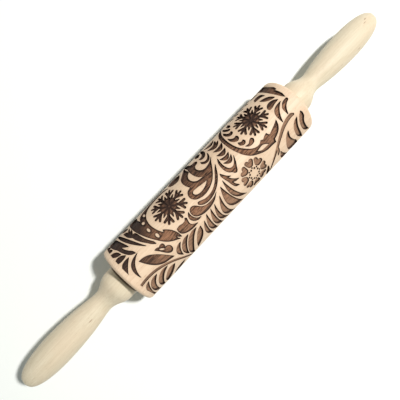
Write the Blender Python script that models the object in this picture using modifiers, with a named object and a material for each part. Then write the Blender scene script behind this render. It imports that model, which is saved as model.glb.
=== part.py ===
"""Engraved rolling pin: a wooden barrel that turns on a steel rod between two wooden handles.

The rod's axis is X and +Z is up. The origin is the middle of the barrel, on its axis. The barrel turns in
two flanged bushes on the rod's journals. Each end of the rod carries a thrust washer, a lock nut against
the rod's shoulder, and a handle screwed on by the threaded insert inside it.
"""

import math

import bpy

# Driving dimensions, in metres.
BARREL_LENGTH = 0.200
BARREL_DIAMETER = 0.054
BARREL_RIM_RADIUS = 0.003

HANDLE_LENGTH = 0.111
COLLAR_DIAMETER = 0.0288
COLLAR_LENGTH = 0.0075
COLLAR_EDGE_RADIUS = 0.001
NECK_DIAMETER = 0.0176
NECK_STATION = 0.026
GRIP_DIAMETER = 0.0262
GRIP_STATION = 0.075
TIP_FLAT_DIAMETER = 0.005

ROD_DIAMETER = 0.008
THREAD_DIAMETER = 0.006
ROD_REACH = 0.0024
ROD_CHAMFER = 0.0005

BUSH_DIAMETER = 0.014
BUSH_LENGTH = 0.014
BUSH_CHAMFER = 0.0005
FLANGE_DIAMETER = 0.022
FLANGE_THICKNESS = 0.002
FLANGE_STAND_OFF = 0.0003

WASHER_DIAMETER = 0.018
WASHER_THICKNESS = 0.0012

NUT_ACROSS_FLATS = 0.010
NUT_THICKNESS = 0.004
NUT_CHAMFER = 0.0005

INSERT_DIAMETER = 0.0098
INSERT_LENGTH = 0.015
INSERT_BARBS = 4
BARB_DEPTH = 0.0006

# Clearances, in metres.
PIECE_GAP = 0.0003
BARREL_BORE_CLEARANCE = 0.001
NUT_RECESS_CLEARANCE = 0.0005
PILOT_CLEARANCE = 0.0005
PILOT_END_CLEARANCE = 0.001

# How far each curve of the handle's outline follows its two end tangents, as a share of its length.
COVE_PULL = (0.40, 0.45)
SWELL_PULL = (0.10, 0.57)
TIP_PULL = (0.46, 0.75)

# Facets around each turned piece and along each curve.
BARREL_SEGMENTS = 64
HANDLE_SEGMENTS = 48
SMALL_SEGMENTS = 32
RIM_STEPS = 4
EDGE_STEPS = 3
COVE_STEPS = 6
SWELL_STEPS = 6
TIP_STEPS = 8

# Places along the rod, measured from the middle of the barrel.
BARREL_END = BARREL_LENGTH / 2
FLANGE_FACE = BARREL_END + FLANGE_STAND_OFF
WASHER_FACE = FLANGE_FACE + PIECE_GAP + WASHER_THICKNESS
COLLAR_FACE = WASHER_FACE + PIECE_GAP

# Depths inside a handle, measured from its collar's face. The rod reaches through the insert.
RECESS_DEPTH = NUT_THICKNESS + PIECE_GAP
INSERT_HOLE_DEPTH = RECESS_DEPTH + INSERT_LENGTH + PIECE_GAP
ROD_DEPTH = RECESS_DEPTH + INSERT_LENGTH + ROD_REACH
PILOT_DEPTH = ROD_DEPTH + PILOT_END_CLEARANCE
ROD_END = COLLAR_FACE + ROD_DEPTH

NUT_ACROSS_CORNERS = NUT_ACROSS_FLATS / math.cos(math.pi / 6)

MODEL_NAME = "engraved_rolling_pin"
SIDES = (("left", -1), ("right", 1))
SHARP_ANGLE = math.radians(30)
MERGE_DISTANCE = 0.00001


def clear_scene():
    for obj in list(bpy.data.objects):
        bpy.data.objects.remove(obj, do_unlink=True)


def new_collection(name):
    collection = bpy.data.collections.new(name)
    bpy.context.scene.collection.children.link(collection)
    return collection


def make_material(name, colour, roughness, metallic=0.0):
    material = bpy.data.materials.new(name)
    material.use_nodes = True
    shader = material.node_tree.nodes["Principled BSDF"]
    shader.inputs["Base Color"].default_value = (*colour, 1.0)
    shader.inputs["Roughness"].default_value = roughness
    shader.inputs["Metallic"].default_value = metallic
    material.diffuse_color = (*colour, 1.0)
    return material


def arc(centre, radius, start, end, steps):
    """Points of an arc in the outline plane, from angle start to angle end in degrees."""
    points = []
    for step in range(steps + 1):
        angle = math.radians(start + (end - start) * step / steps)
        points.append((centre[0] + radius * math.cos(angle), centre[1] + radius * math.sin(angle)))
    return points


def bezier(start, start_pull, end_pull, end, steps):
    """Points of a cubic curve after its start, up to and including its end."""
    points = []
    for step in range(1, steps + 1):
        t = step / steps
        weights = ((1 - t) ** 3, 3 * t * (1 - t) ** 2, 3 * t * t * (1 - t), t ** 3)
        corners = (start, start_pull, end_pull, end)
        points.append(tuple(sum(w * c[axis] for w, c in zip(weights, corners)) for axis in (0, 1)))
    return points


def flipped(points):
    """The same points below the middle plane, in the order that carries an outline on downwards."""
    return [(radius, -height) for radius, height in reversed(points)]


def turned(name, outline, material, collection, segments, ring=False):
    """A piece turned about its local Z, from (radius, height) points that run down its outer side."""
    edges = [(index, index + 1) for index in range(len(outline) - 1)]
    if ring:
        edges.append((len(outline) - 1, 0))
    mesh = bpy.data.meshes.new(name)
    mesh.from_pydata([(radius, 0.0, height) for radius, height in outline], edges, [])
    obj = bpy.data.objects.new(name, mesh)
    collection.objects.link(obj)
    obj.data.materials.append(material)
    screw = obj.modifiers.new("Turn", "SCREW")
    screw.axis = "Z"
    screw.steps = segments
    screw.render_steps = segments
    screw.use_merge_vertices = True
    screw.merge_threshold = MERGE_DISTANCE
    return obj


def apply_modifiers(obj):
    """Keeps the evaluated shape as the object's own mesh, shaded smooth between its sharp edges."""
    evaluated = obj.evaluated_get(bpy.context.evaluated_depsgraph_get())
    mesh = bpy.data.meshes.new_from_object(evaluated)
    obj.modifiers.clear()
    obj.data = mesh
    mesh.shade_smooth()
    mesh.set_sharp_from_angle(angle=SHARP_ANGLE)


def place(obj, side, distance, parent):
    """Puts a piece on the rod's axis with its local Z pointing outwards on that side."""
    obj.rotation_euler = (0.0, side * math.pi / 2, 0.0)
    obj.location = (side * distance, 0.0, 0.0)
    obj.parent = parent


def make_barrel(material, collection):
    radius = BARREL_DIAMETER / 2
    flange_radius = FLANGE_DIAMETER / 2 + PIECE_GAP
    pocket_radius = BUSH_DIAMETER / 2 + PIECE_GAP
    bore_radius = ROD_DIAMETER / 2 + BARREL_BORE_CLEARANCE
    recess_floor = FLANGE_FACE - FLANGE_THICKNESS - PIECE_GAP
    pocket_floor = FLANGE_FACE - FLANGE_THICKNESS - BUSH_LENGTH - PIECE_GAP
    rim_centre = (radius - BARREL_RIM_RADIUS, BARREL_END - BARREL_RIM_RADIUS)
    rim = arc(rim_centre, BARREL_RIM_RADIUS, 90, 0, RIM_STEPS)
    upper_bore = [
        (bore_radius, pocket_floor),
        (pocket_radius, pocket_floor),
        (pocket_radius, recess_floor),
        (flange_radius, recess_floor),
        (flange_radius, BARREL_END),
    ]
    outline = rim + flipped(rim) + flipped(upper_bore) + upper_bore
    return turned("barrel", outline, material, collection, BARREL_SEGMENTS, ring=True)


def make_rod(material, collection):
    journal_radius = ROD_DIAMETER / 2
    thread_radius = THREAD_DIAMETER / 2
    upper = [
        (0.0, ROD_END),
        (thread_radius - ROD_CHAMFER, ROD_END),
        (thread_radius, ROD_END - ROD_CHAMFER),
        (thread_radius, WASHER_FACE),
        (journal_radius, WASHER_FACE),
    ]
    return turned("axle_rod", upper + flipped(upper), material, collection, SMALL_SEGMENTS)


def make_bush(name, material, collection):
    """A flanged bush: its flange's outer face is at height 0 and its body hangs below."""
    bore_radius = ROD_DIAMETER / 2 + PIECE_GAP
    body_radius = BUSH_DIAMETER / 2
    flange_radius = FLANGE_DIAMETER / 2
    end = -FLANGE_THICKNESS - BUSH_LENGTH
    outline = [
        (flange_radius, 0.0),
        (flange_radius, -FLANGE_THICKNESS),
        (body_radius, -FLANGE_THICKNESS),
        (body_radius, end + BUSH_CHAMFER),
        (body_radius - BUSH_CHAMFER, end),
        (bore_radius, end),
        (bore_radius, 0.0),
    ]
    return turned(name, outline, material, collection, SMALL_SEGMENTS, ring=True)


def make_washer(name, material, collection):
    """A flat washer whose outer face is at height 0."""
    bore_radius = ROD_DIAMETER / 2 + PIECE_GAP
    radius = WASHER_DIAMETER / 2
    outline = [
        (radius, 0.0),
        (radius, -WASHER_THICKNESS),
        (bore_radius, -WASHER_THICKNESS),
        (bore_radius, 0.0),
    ]
    return turned(name, outline, material, collection, SMALL_SEGMENTS, ring=True)


def make_nut(name, material, collection, cutters):
    """A hexagon nut about its own centre, its corners turned off at both faces."""
    corner_radius = NUT_ACROSS_CORNERS / 2
    chamfered_radius = NUT_ACROSS_FLATS / 2
    upper_corners = [
        (0.0, NUT_THICKNESS / 2),
        (chamfered_radius, NUT_THICKNESS / 2),
        (corner_radius + PIECE_GAP, NUT_THICKNESS / 2 - NUT_CHAMFER),
    ]
    corner_outline = upper_corners + flipped(upper_corners)
    corners = turned(name + "_corners", corner_outline, material, cutters, SMALL_SEGMENTS)
    upper_bore = [(0.0, NUT_THICKNESS), (THREAD_DIAMETER / 2 + PIECE_GAP, NUT_THICKNESS)]
    bore = turned(name + "_bore", upper_bore + flipped(upper_bore), material, cutters, SMALL_SEGMENTS)
    bpy.ops.mesh.primitive_cylinder_add(vertices=6, radius=corner_radius, depth=NUT_THICKNESS)
    nut = bpy.context.active_object
    nut.name = name
    for owner in list(nut.users_collection):
        owner.objects.unlink(nut)
    collection.objects.link(nut)
    nut.data.materials.append(material)
    for cutter, operation in ((corners, "INTERSECT"), (bore, "DIFFERENCE")):
        cutter.display_type = "WIRE"
        cutter.hide_render = True
        cut = nut.modifiers.new(operation.title(), "BOOLEAN")
        cut.operation = operation
        cut.solver = "EXACT"
        cut.object = cutter
    return nut


def make_insert(name, material, collection):
    """A threaded insert for wood that stands on height 0, with barbs that hold it in its hole."""
    bore_radius = THREAD_DIAMETER / 2 + PIECE_GAP
    crest = INSERT_DIAMETER / 2
    root = crest - BARB_DEPTH
    pitch = INSERT_LENGTH / INSERT_BARBS
    outline = []
    for barb in reversed(range(INSERT_BARBS)):
        outline.append((root, (barb + 1) * pitch))
        outline.append((crest, barb * pitch))
    outline += [(bore_radius, 0.0), (bore_radius, INSERT_LENGTH)]
    return turned(name, outline, material, collection, SMALL_SEGMENTS, ring=True)


def handle_outline():
    """The turned outside of a handle, from its collar's face at height 0 up to its tip."""
    collar_radius = COLLAR_DIAMETER / 2
    neck_radius = NECK_DIAMETER / 2
    grip_radius = GRIP_DIAMETER / 2
    flat_radius = TIP_FLAT_DIAMETER / 2
    edge_centre = (collar_radius - COLLAR_EDGE_RADIUS, COLLAR_EDGE_RADIUS)
    points = arc(edge_centre, COLLAR_EDGE_RADIUS, -90, 0, EDGE_STEPS)
    cove_start = (collar_radius, COLLAR_LENGTH)
    neck = (neck_radius, NECK_STATION)
    grip = (grip_radius, GRIP_STATION)
    tip = (flat_radius, HANDLE_LENGTH)
    cove_span = NECK_STATION - COLLAR_LENGTH
    swell_span = GRIP_STATION - NECK_STATION
    tip_span = HANDLE_LENGTH - GRIP_STATION
    points.append(cove_start)
    cove_pulls = (
        (collar_radius, COLLAR_LENGTH + COVE_PULL[0] * cove_span),
        (neck_radius, NECK_STATION - COVE_PULL[1] * cove_span),
    )
    swell_pulls = (
        (neck_radius, NECK_STATION + SWELL_PULL[0] * swell_span),
        (grip_radius, GRIP_STATION - SWELL_PULL[1] * swell_span),
    )
    tip_pulls = (
        (grip_radius, GRIP_STATION + TIP_PULL[0] * tip_span),
        (flat_radius + TIP_PULL[1] * (grip_radius - flat_radius), HANDLE_LENGTH),
    )
    points += bezier(cove_start, *cove_pulls, neck, COVE_STEPS)
    points += bezier(neck, *swell_pulls, grip, SWELL_STEPS)
    points += bezier(grip, *tip_pulls, tip, TIP_STEPS)
    return points


def make_handle(name, material, collection):
    recess_radius = NUT_ACROSS_CORNERS / 2 + NUT_RECESS_CLEARANCE
    insert_radius = INSERT_DIAMETER / 2 + PIECE_GAP
    pilot_radius = THREAD_DIAMETER / 2 + PILOT_CLEARANCE
    hole = [
        (recess_radius, 0.0),
        (recess_radius, RECESS_DEPTH),
        (insert_radius, RECESS_DEPTH),
        (insert_radius, INSERT_HOLE_DEPTH),
        (pilot_radius, INSERT_HOLE_DEPTH),
        (pilot_radius, PILOT_DEPTH),
        (0.0, PILOT_DEPTH),
    ]
    outline = [(0.0, HANDLE_LENGTH)] + list(reversed(handle_outline())) + hole
    return turned(name, outline, material, collection, HANDLE_SEGMENTS)


def make_axis(name, collection):
    """An empty at the origin that carries one rigid body; the barrel's joint runs along its X."""
    axis = bpy.data.objects.new(name, None)
    axis.empty_display_type = "ARROWS"
    axis.empty_display_size = BARREL_DIAMETER
    collection.objects.link(axis)
    return axis


def build():
    clear_scene()
    model = new_collection(MODEL_NAME)
    cutters = new_collection("cutters")
    barrel_wood = make_material("barrel_wood", (0.84, 0.62, 0.42), 0.55)
    handle_wood = make_material("handle_wood", (0.86, 0.76, 0.56), 0.5)
    rod_steel = make_material("rod_steel", (0.62, 0.62, 0.63), 0.3, 1.0)
    zinc_steel = make_material("zinc_steel", (0.70, 0.71, 0.72), 0.35, 1.0)
    nylon = make_material("nylon", (0.85, 0.84, 0.80), 0.45)
    brass = make_material("brass", (0.78, 0.60, 0.27), 0.3, 1.0)

    handle_axis = make_axis("handle_axis", model)
    barrel_axis = make_axis("barrel_axis", model)

    place(make_barrel(barrel_wood, model), 1, 0.0, barrel_axis)
    place(make_rod(rod_steel, model), 1, 0.0, handle_axis)
    for word, side in SIDES:
        place(make_bush("bush_" + word, nylon, model), side, FLANGE_FACE, barrel_axis)
        place(make_washer("thrust_washer_" + word, zinc_steel, model), side, WASHER_FACE, handle_axis)
        nut = make_nut("lock_nut_" + word, zinc_steel, model, cutters)
        apply_modifiers(nut)
        place(nut, side, COLLAR_FACE + NUT_THICKNESS / 2, handle_axis)
        insert = make_insert("threaded_insert_" + word, brass, model)
        place(insert, side, COLLAR_FACE + RECESS_DEPTH, handle_axis)
        place(make_handle("handle_" + word, handle_wood, model), side, COLLAR_FACE, handle_axis)
    for obj in model.objects:
        if obj.type == "MESH" and obj.modifiers:
            apply_modifiers(obj)


build()
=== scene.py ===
"""The looks of the engraved rolling pin: wood, engraving, studio floor, light and camera.

The frame is the CAD one: the axle is X, +Z is up and the origin is the middle of the barrel. The
barrel's engraving is drawn unrolled, in millimetres: x runs along the axle and c round the barrel, with
c = 0 on top and positive c towards -Y. One drawing covers half a turn and is rolled on twice.
"""

import math

import bmesh
import bpy
import numpy as np
from mathutils import Matrix, Vector, noise
from mathutils.geometry import delaunay_2d_cdt
from mathutils.kdtree import KDTree


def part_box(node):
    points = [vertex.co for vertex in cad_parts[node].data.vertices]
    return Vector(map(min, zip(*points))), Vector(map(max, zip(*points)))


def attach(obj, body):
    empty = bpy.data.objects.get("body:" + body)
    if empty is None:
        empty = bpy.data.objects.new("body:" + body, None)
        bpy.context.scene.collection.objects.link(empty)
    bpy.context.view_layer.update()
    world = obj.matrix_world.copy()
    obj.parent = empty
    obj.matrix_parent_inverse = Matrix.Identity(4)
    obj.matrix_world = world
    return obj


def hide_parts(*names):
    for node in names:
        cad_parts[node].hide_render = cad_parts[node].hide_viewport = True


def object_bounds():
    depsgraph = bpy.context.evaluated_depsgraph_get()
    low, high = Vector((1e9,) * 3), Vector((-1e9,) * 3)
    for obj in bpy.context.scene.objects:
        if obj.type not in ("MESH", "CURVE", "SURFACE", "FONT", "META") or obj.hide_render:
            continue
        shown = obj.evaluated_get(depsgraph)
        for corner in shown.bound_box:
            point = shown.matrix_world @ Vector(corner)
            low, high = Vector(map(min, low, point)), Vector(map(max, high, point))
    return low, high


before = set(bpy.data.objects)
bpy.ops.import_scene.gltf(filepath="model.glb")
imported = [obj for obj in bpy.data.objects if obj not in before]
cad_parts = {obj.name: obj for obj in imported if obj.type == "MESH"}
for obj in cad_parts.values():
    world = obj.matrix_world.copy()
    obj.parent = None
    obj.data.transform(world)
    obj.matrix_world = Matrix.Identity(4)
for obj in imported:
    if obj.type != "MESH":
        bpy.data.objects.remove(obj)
cad_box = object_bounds()

MM = 0.001

# The barrel, in millimetres: radius and end from the CAD piece, the rest as in the CAD source.
barrel_low, barrel_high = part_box("barrel")
BARREL_RADIUS = barrel_high.z / MM
BARREL_END = barrel_high.x / MM
RIM_RADIUS = 3.0
RIM_START = BARREL_END - RIM_RADIUS
FLANGE_RECESS_RADIUS = 11.3
FLANGE_RECESS_DEPTH = 2.0
BUSH_POCKET_RADIUS = 7.3
BUSH_POCKET_DEPTH = 16.0
BORE_RADIUS = 5.0

# The engraving, in millimetres. The beam widens every cut by its own radius.
TILE = math.pi * BARREL_RADIUS
TILE_DIVISIONS = 96
ENGRAVED_FROM = -94.4
ENGRAVED_TO = 94.3
DEEPEST = 2.1
DEEP = 1.6
MIDDLING = 1.2
SHALLOW = 0.9
LAND = 0.0
BEAM_RADIUS = 0.25
OUTLINE_STEP = 0.5
FLOOR_GRID = 1.1
LAND_GRID = (4.0, TILE / 32)
GRID_CLEARANCE = 0.4
FLOOR_ROUGHNESS = 0.12
ROUGHNESS_SIZE = (3.0, 0.9)
JOIN_DISTANCE = 0.00001
FAR_FROM_WALLS = 4.0

# Both handles, in millimetres from the collar's face, as in the CAD source.
handle_low, handle_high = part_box("handle_right")
COLLAR_FACE = handle_low.x / MM
HANDLE_LENGTH = handle_high.x / MM - COLLAR_FACE
COLLAR_RADIUS = handle_high.z / MM
COLLAR_LENGTH = 7.5
COLLAR_EDGE_RADIUS = 1.0
NECK_RADIUS = 8.8
NECK_STATION = 26.0
GRIP_RADIUS = 13.1
GRIP_STATION = 75.0
TIP_FLAT_RADIUS = 2.5
COVE_PULL = (0.40, 0.45)
SWELL_PULL = (0.10, 0.57)
TIP_PULL = (0.46, 0.75)
NUT_RECESS_RADIUS = 6.27
NUT_RECESS_DEPTH = 4.3
INSERT_HOLE_RADIUS = 5.2
INSERT_HOLE_DEPTH = 19.6
PILOT_RADIUS = 3.5
PILOT_DEPTH = 22.7
HANDLE_WOBBLE = 0.12
WOBBLE_LENGTH = 18.0
WOBBLE_ROUND = 1.3

# Dark marks in the handles' wood: centre and size, each in x, y and z.
HANDLE_MARKS = (
    ((199.5, 3.4, 10.5), (2.0, 0.7, 2.5)),
    ((196.0, 1.4, 11.0), (2.6, 0.5, 2.5)),
    ((156.2, -9.4, 6.0), (2.4, 0.8, 2.5)),
    ((146.5, -8.6, 4.5), (2.2, 0.6, 2.5)),
    ((178.0, -10.6, 6.5), (2.2, 0.5, 2.5)),
    ((-142.5, -3.6, 10.5), (2.8, 0.55, 2.5)),
)

# How finely the turned pieces are built.
RIM_STEPS = 6
CURVE_STEPS = 24
HANDLE_DIVISIONS = 96
WELD_DISTANCE = 0.000001
SHARP_ANGLE = math.radians(30)

# The studio: one lamp, a pale sky and the camera, in metres.
LAMP_PLACE = (0.63, -0.21, 1.48)
LAMP_SIZE = 0.15
LAMP_POWER = 30.0
LAMP_COLOUR = (1.0, 0.985, 0.965)
SKY_STRENGTH = 0.27
SKY_COLOUR = (0.93, 1.0, 0.955)
FLOOR_HALF_SIZE = 3.0
CAMERA_PLACE = (-0.0479, -0.0007, 0.3344)
CAMERA_TILT = math.radians(5.91)
AXLE_ANGLE_IN_PICTURE = math.radians(46.58)
LENS = 36.0


# ---------------------------------------------------------------- outlines

def smooth(points):
    """A smooth line through the points (centripetal Catmull-Rom), with a point every OUTLINE_STEP."""
    points = np.array(points, float)
    if len(points) == 2:
        count = max(1, round(np.linalg.norm(points[1] - points[0]) / OUTLINE_STEP))
        share = np.linspace(0, 1, count + 1)[:, None]
        return points[0] * (1 - share) + points[1] * share
    knots = np.vstack((2 * points[0] - points[1], points, 2 * points[-1] - points[-2]))
    line = []
    for index in range(1, len(knots) - 2):
        p0, p1, p2, p3 = knots[index - 1:index + 3]
        t1 = np.linalg.norm(p1 - p0) ** 0.5
        t2 = t1 + np.linalg.norm(p2 - p1) ** 0.5
        t3 = t2 + np.linalg.norm(p3 - p2) ** 0.5
        count = max(2, round(np.linalg.norm(p2 - p1) / OUTLINE_STEP))
        for t in np.linspace(t1, t2, count, endpoint=False):
            a1 = ((t1 - t) * p0 + t * p1) / t1
            a2 = ((t2 - t) * p1 + (t - t1) * p2) / (t2 - t1)
            a3 = ((t3 - t) * p2 + (t - t2) * p3) / (t3 - t2)
            b1 = ((t2 - t) * a1 + t * a2) / t2
            b2 = ((t3 - t) * a2 + (t - t1) * a3) / (t3 - t1)
            line.append(((t2 - t) * b1 + (t - t1) * b2) / (t2 - t1))
    line.append(points[-1])
    return np.array(line)


def closed(*sides):
    """A closed outline of smooth sides that meet in corners, each going on from the last one's end."""
    start = sides[0][0]
    corner = start
    lines = []
    for index, side in enumerate(sides):
        points = [corner, *side] if index else list(side)
        if index == len(sides) - 1:
            points.append(start)
        lines.append(smooth(points)[:-1])
        corner = points[-1]
    return np.vstack(lines)


def blade(tip, tail, outer, inner):
    """A leaf or a crescent: two arcs from tip to tail, which bulge by outer and inner."""
    tip, tail = np.array(tip, float), np.array(tail, float)
    chord = tail - tip
    length = np.linalg.norm(chord)
    across = np.array((-chord[1], chord[0])) / length
    t = np.linspace(0, 1, max(6, round(length / OUTLINE_STEP)) + 1)[:, None]
    arcs = [tip + chord * t + across * (4 * bulge * t * (1 - t)) for bulge in (outer, inner)]
    return np.vstack((arcs[0][:-1], arcs[1][:0:-1]))


def round_end(centre, across, half_width):
    """The points of a round end, between the two sides of a stroke."""
    start = math.atan2(across[1], across[0])
    count = max(3, round(half_width * math.pi / OUTLINE_STEP))
    angles = start - np.linspace(0, math.pi, count + 1)[1:-1]
    return centre + half_width * np.stack((np.cos(angles), np.sin(angles)), axis=1)


def stroke(points, half_widths):
    """A line of changing width through the points, with round ends."""
    line = smooth(points)
    steps = np.linalg.norm(np.diff(line, axis=0), axis=1)
    places = np.concatenate(([0], np.cumsum(steps)))
    marks = [places[np.argmin(np.linalg.norm(line - np.array(point), axis=1))] for point in points]
    half = np.interp(places, marks, half_widths)
    along = np.gradient(line, axis=0)
    along /= np.linalg.norm(along, axis=1)[:, None]
    across = np.stack((-along[:, 1], along[:, 0]), axis=1)
    left = line + across * half[:, None]
    right = line - across * half[:, None]
    end = round_end(line[-1], across[-1], half[-1])
    start = round_end(line[0], -across[0], half[0])
    return np.vstack((left, end, right[::-1], start))


def disc(centre, half_width, half_height=None):
    """The outline of a circle or, with a half height, an ellipse."""
    half_height = half_height or half_width
    count = max(8, round(math.pi * (half_width + half_height) / OUTLINE_STEP))
    angles = np.linspace(0, 2 * math.pi, count, endpoint=False)
    x = centre[0] + half_width * np.cos(angles)
    c = centre[1] + half_height * np.sin(angles)
    return np.stack((x, c), axis=1)


def turned_points(points, centre, size, degrees):
    """Points given in a motif's own frame, scaled, turned and moved to its centre."""
    angle = math.radians(degrees)
    cos, sin = size * math.cos(angle), size * math.sin(angle)
    return [(centre[0] + x * cos - y * sin, centre[1] + x * sin + y * cos) for x, y in points]


def at_depth(depth, outlines):
    """Each outline in a pair with its depth."""
    return [(outline, depth) for outline in outlines]


# ---------------------------------------------------------------- motifs

def snowflake(centre, size, turn):
    """Eight arms with three prongs each, a spike between each pair, and a groove along each arm."""
    shapes = [disc(centre, 0.28 * size)]
    grooves = []
    for arm in range(8):
        angle = turn + 45 * arm
        stem = turned_points([(0.24, 0), (0.6, 0), (0.97, 0)], centre, size, angle)
        shapes.append(stroke(stem, [0.085 * size, 0.065 * size, 0.05 * size]))
        for side in (-1, 1):
            bend = [(0.54, 0), (0.72, 0.1 * side), (0.87, 0.22 * side)]
            prong = turned_points(bend, centre, size, angle)
            shapes.append(stroke(prong, [0.05 * size, 0.065 * size, 0.055 * size]))
        spike = turned_points([(0.24, 0), (0.46, 0), (0.66, 0)], centre, size, angle + 22.5)
        shapes.append(stroke(spike, [0.095 * size, 0.07 * size, 0.015 * size]))
        groove = turned_points([(0.1, 0), (0.5, 0), (0.76, 0)], centre, size, angle)
        grooves.append(stroke(groove, [0.008 * size, 0.012 * size, 0.008 * size]))
    return at_depth(DEEP, shapes) + at_depth(DEEPEST, grooves)


def ring_flower(centre, size, turn):
    """Eight petals of two lobes in a ring, and two rings of dots inside them."""
    petals = []
    dots = []
    side = [(0.52, 0), (0.55, 0.13), (0.64, 0.2), (0.75, 0.26), (0.87, 0.3), (0.96, 0.24), (0.975, 0.12),
            (0.88, 0)]
    other_side = [(r, -across) for r, across in reversed(side[1:-1])]
    for petal in range(8):
        angle = turn + 45 * petal
        halves = [turned_points(half, centre, size, angle) for half in (side, other_side)]
        petals.append(closed(*halves))
        dots.append(disc(turned_points([(0.43, 0)], centre, size, angle)[0], 0.045 * size))
        dots.append(disc(turned_points([(0.35, 0)], centre, size, angle + 22.5)[0], 0.055 * size))
    return at_depth(MIDDLING, petals + dots)


def vine(middle, start, end):
    """A thin wavy stem along the barrel with a small leaf at each knot, by turns on either side."""
    spacing = 5
    sway = 0.7
    wavelength = 31
    count = round((end - start) / spacing)
    places = np.linspace(start, end, count)
    knots = [(x, middle + sway * math.sin(x * math.tau / wavelength)) for x in places]
    shapes = [stroke(knots, [0.45] * count)]
    for index, (x, c) in enumerate(knots[:-1]):
        side = 1 if index % 2 else -1
        shapes.append(blade((x, c), (x + 4.2, c + 3.0 * side), 1.3 * side, -0.5 * side))
    return shapes


def near_fan():
    """Leaves that fan out from the barrel's near end."""
    forked_leaf = closed(
        [(-88.5, -44), (-91, -36), (-90.8, -30), (-89.6, -25), (-87.8, -20.6), (-86.6, -16.2),
         (-84.6, -11.6), (-82, -8.6), (-79, -7.1)],
        [(-79.6, -9.6), (-81.8, -12.8), (-83.6, -16.4), (-84.4, -20.2)],
        [(-82.6, -17.9), (-79.6, -15.2)],
        [(-80.4, -18.4), (-81.8, -23.5), (-83.2, -29), (-84.8, -36)])
    plume = closed(
        [(-76.6, -31.2), (-76.2, -26.5), (-75.2, -22), (-72.8, -18.2)],
        [(-72.2, -15), (-70.6, -11), (-67.6, -6), (-65.2, -2.4), (-63.2, -0.7)],
        [(-63.5, -3.2), (-65.2, -6.4), (-66.8, -10.2), (-67.8, -14.4), (-68.4, -18)],
        [(-69.2, -20.2), (-71.2, -21)],
        [(-69.9, -23.5), (-69.3, -26.6)],
        [(-71.8, -25.2)],
        [(-70.6, -28), (-70, -31)],
        [(-73.2, -27.4)],
        [(-74.4, -30)])
    return at_depth(DEEP, [
        blade((-97, -38), (-91.5, -29.8), 2.0, -2.0),
        blade((-97, -30.8), (-91, -24.9), 2.2, -2.0),
        blade((-96, -22.8), (-87.9, -15.3), 1.8, -2.3),
        blade((-97, -12.8), (-85.7, -11.6), 1.5, -2.9),
        blade((-94.9, 0.8), (-85, -8.7), -0.6, -4.8),
        blade((-78.2, -6.3), (-89.6, 9), 5.9, 3.1),
        blade((-81.6, -41), (-69.7, -5), 4.2, 1.3),
        blade((-76.8, -39), (-71.6, -31.8), 2.2, -2.2),
        forked_leaf,
        plume,
    ])


def dotted_band():
    """The wide band that runs round the first snowflake, with four dots left standing in it."""
    band = closed(
        [(-66, -42), (-68.4, -36), (-68.8, -28), (-68.2, -21), (-66.8, -15), (-64.6, -9.2), (-61.4, -3),
         (-57.6, 3), (-53.6, 6.8), (-47.6, 10.4)],
        [(-48.7, 8.6), (-48.9, 6.4)],
        [(-47.4, 8.6), (-45.8, 10.1)],
        [(-46.1, 5.6), (-47.6, 1.4), (-50, -2), (-52.3, -4.3)],
        [(-53.3, -2.2)],
        [(-55.2, -6.5), (-56.4, -11.5), (-56.4, -17), (-55, -22.6), (-52, -27.6), (-47.6, -31.3),
         (-42, -33.2), (-36.5, -33.6), (-31, -32.8), (-25.6, -30.4)],
        [(-29, -35), (-35, -37.4), (-42, -37.6), (-49, -36), (-54.4, -33.4), (-58.2, -30), (-60, -24.8)],
        [(-61.2, -29.5), (-60.8, -35), (-63, -39.5)])
    dots = [
        disc((-54.7, -27.6), 1.35, 2.1),
        disc((-59.3, -20.9), 1.5, 1.7),
        disc((-60.1, -12.5), 1.3, 2.1),
        disc((-58.2, -4.4), 1.4, 2.2),
    ]
    return at_depth(DEEP, [band]) + snowflake((-36.0, -15.0), 15.2, -4) + at_depth(LAND, dots)


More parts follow.
